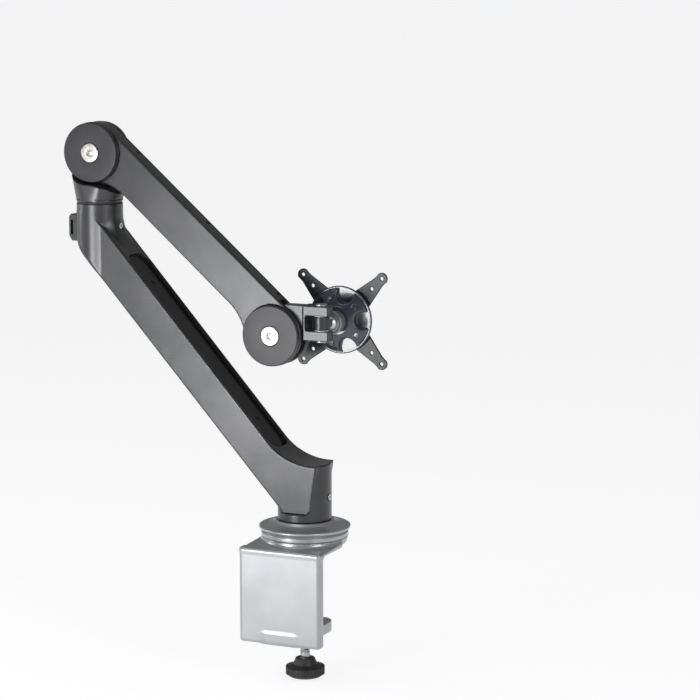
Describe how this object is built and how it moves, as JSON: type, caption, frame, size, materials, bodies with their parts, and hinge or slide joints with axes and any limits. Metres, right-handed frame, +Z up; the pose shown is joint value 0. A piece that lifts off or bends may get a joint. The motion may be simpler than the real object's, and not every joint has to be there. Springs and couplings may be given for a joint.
{
  "type": "monitor arm",
  "caption": "Desk-clamped monitor arm: slanted cast lower arm, gas-sprung parallelogram upper arm and a pan, tilt and rotate head with an X-shaped VESA plate.",
  "frame": {"origin": "on the desk top, under the axis that the whole arm swivels on at its base", "axes": "+Z up; +X horizontal along both arms in the rest pose, towards the head; +Y horizontal, square to the arms, towards the display that the head carries"},
  "size_m": [0.3847, 0.131, 0.6431],
  "materials": {
    "silver_paint": "satin",
    "graphite_paint": "satin metallic",
    "black_paint": "semi-gloss",
    "satin_aluminium": "satin turned",
    "steel": "zinc plated",
    "rubber": "matt",
    "black_gloss": "gloss",
    "hub_plastic": "gloss blue-grey",
    "black_plastic": "fine texture",
    "cast_block": "as cast",
    "brass": "turned"
  },
  "bodies": {
    "clamp": {"clamp_bracket": "silver_paint", "desk_pad": "rubber", "base_ring": "silver_paint", "base_flange": "silver_paint", "base_post": "steel", "post_bolt": "steel", "base_screws": "steel"},
    "clamp_pad": {"clamp_pad_disc": "steel", "clamp_pad_rubber": "rubber"},
    "clamp_spindle": {"clamp_screw": "steel", "clamp_knob": "black_plastic"},
    "lower_arm": {"lower_arm_casting": "graphite_paint", "channel_cover": "black_gloss", "cover_screws": "steel", "base_bush_lower": "black_plastic", "base_bush_upper": "black_plastic", "friction_screws": "steel", "elbow_bush": "black_plastic", "cable_catch": "graphite_paint"},
    "knuckle": {"elbow_knuckle": "graphite_paint", "elbow_post": "steel", "elbow_washer": "steel", "post_clip": "steel", "elbow_axle": "steel", "elbow_cap_near": "satin_aluminium", "elbow_cap_far": "satin_aluminium", "rod_pin_elbow": "steel"},
    "upper_arm": {"arm_housing": "graphite_paint", "top_cover": "graphite_paint", "top_cover_screws": "steel", "elbow_disc_near": "graphite_paint", "elbow_disc_far": "graphite_paint", "wrist_disc_near": "graphite_paint", "wrist_disc_far": "graphite_paint"},
    "spring_anchor": {"gas_cylinder": "black_gloss", "anchor_block": "cast_block"},
    "spring_piston": {"gas_rod": "steel", "spring_carriage": "cast_block"},
    "tension": {"tension_screw": "steel"},
    "level_link": {"levelling_rod": "steel"},
    "wrist": {"wrist_bracket": "graphite_paint", "wrist_axle": "steel", "wrist_cap_near": "satin_aluminium", "wrist_cap_far": "satin_aluminium", "rod_pin_wrist": "steel", "pan_pin": "steel", "pan_washers": "black_plastic"},
    "pan": {"pan_tongue": "black_paint", "tilt_ball": "steel"},
    "tilt": {"tilt_socket": "black_paint", "hub_screw": "steel"},
    "knob": {"hand_knob": "hub_plastic", "knob_insert": "brass"},
    "plate": {"friction_washer": "steel", "vesa_plate": "black_paint"}
  },
  "joints": [
    {"name": "clamp_travel", "type": "slide", "parent": "clamp", "child": "clamp_pad", "axis": [0, 0, 1], "range_m": [-0.03, 0.028]},
    {"name": "clamp_turn", "type": "hinge", "parent": "clamp_pad", "child": "clamp_spindle", "pos_m": [0, 0, -0.1], "axis": [0, 0, 1], "range_deg": [-3620, 3380]},
    {"name": "base_swivel", "type": "hinge", "parent": "clamp", "child": "lower_arm", "pos_m": [0, 0, 0.06], "axis": [0, 0, 1], "range_deg": [-180, 180]},
    {"name": "elbow_swivel", "type": "hinge", "parent": "lower_arm", "child": "knuckle", "pos_m": [-0.267, 0, 0.39], "axis": [0, 0, 1], "range_deg": [-180, 180]},
    {"name": "arm_lift", "type": "hinge", "parent": "knuckle", "child": "upper_arm", "pos_m": [-0.2697, 0, 0.4491], "axis": [0, -1, 0], "range_deg": [-2, 82]},
    {"name": "level_rod_swing", "type": "hinge", "parent": "knuckle", "child": "level_link", "pos_m": [-0.2697, 0, 0.4651], "axis": [0, -1, 0], "range_deg": [-2.2, 82.2]},
    {"name": "wrist_level", "type": "hinge", "parent": "upper_arm", "child": "wrist", "pos_m": [-0.03574, 0, 0.24572], "axis": [0, -1, 0], "range_deg": [-82.2, 2.2]},
    {"name": "spring_stroke", "type": "slide", "parent": "upper_arm", "child": "spring_piston", "axis": [0.7547, 0, -0.6561], "range_m": [-0.0212, 0.0006]},
    {"name": "tension_turn", "type": "hinge", "parent": "upper_arm", "child": "tension", "pos_m": [-0.07577, -0.0024, 0.29112], "axis": [0.7547, 0, -0.6561], "range_deg": [-5, 2170]},
    {"name": "anchor_travel", "type": "slide", "parent": "upper_arm", "child": "spring_anchor", "axis": [0.7547, 0, -0.6561], "range_m": [-0.0075, 0]},
    {"name": "head_pan", "type": "hinge", "parent": "wrist", "child": "pan", "pos_m": [0.022, 0, 0.2622], "axis": [0, 0, 1], "range_deg": [-80, 10]},
    {"name": "head_tilt", "type": "hinge", "parent": "pan", "child": "tilt", "pos_m": [0.022, 0.028, 0.259], "axis": [1, 0, 0], "range_deg": [-20, 20]},
    {"name": "head_rotate", "type": "hinge", "parent": "tilt", "child": "plate", "pos_m": [0.022, 0.06, 0.259], "axis": [0, 1, 0], "range_deg": [-90, 90]},
    {"name": "knob_turn", "type": "hinge", "parent": "tilt", "child": "knob", "pos_m": [0.022, 0.045, 0.259], "axis": [0, 1, 0], "range_deg": [-120, 120]}
  ],
  "couplings": [
    {"joint": "clamp_turn", "follows": "clamp_travel", "rad_per_m": 2094.4},
    {"joint": "level_rod_swing", "follows": "arm_lift", "ratio": 1},
    {"joint": "wrist_level", "follows": "arm_lift", "ratio": -1},
    {"joint": "spring_stroke", "follows": "arm_lift", "m_per_rad": -0.0147},
    {"joint": "tension_turn", "follows": "anchor_travel", "rad_per_m": -5026.5}
  ]
}
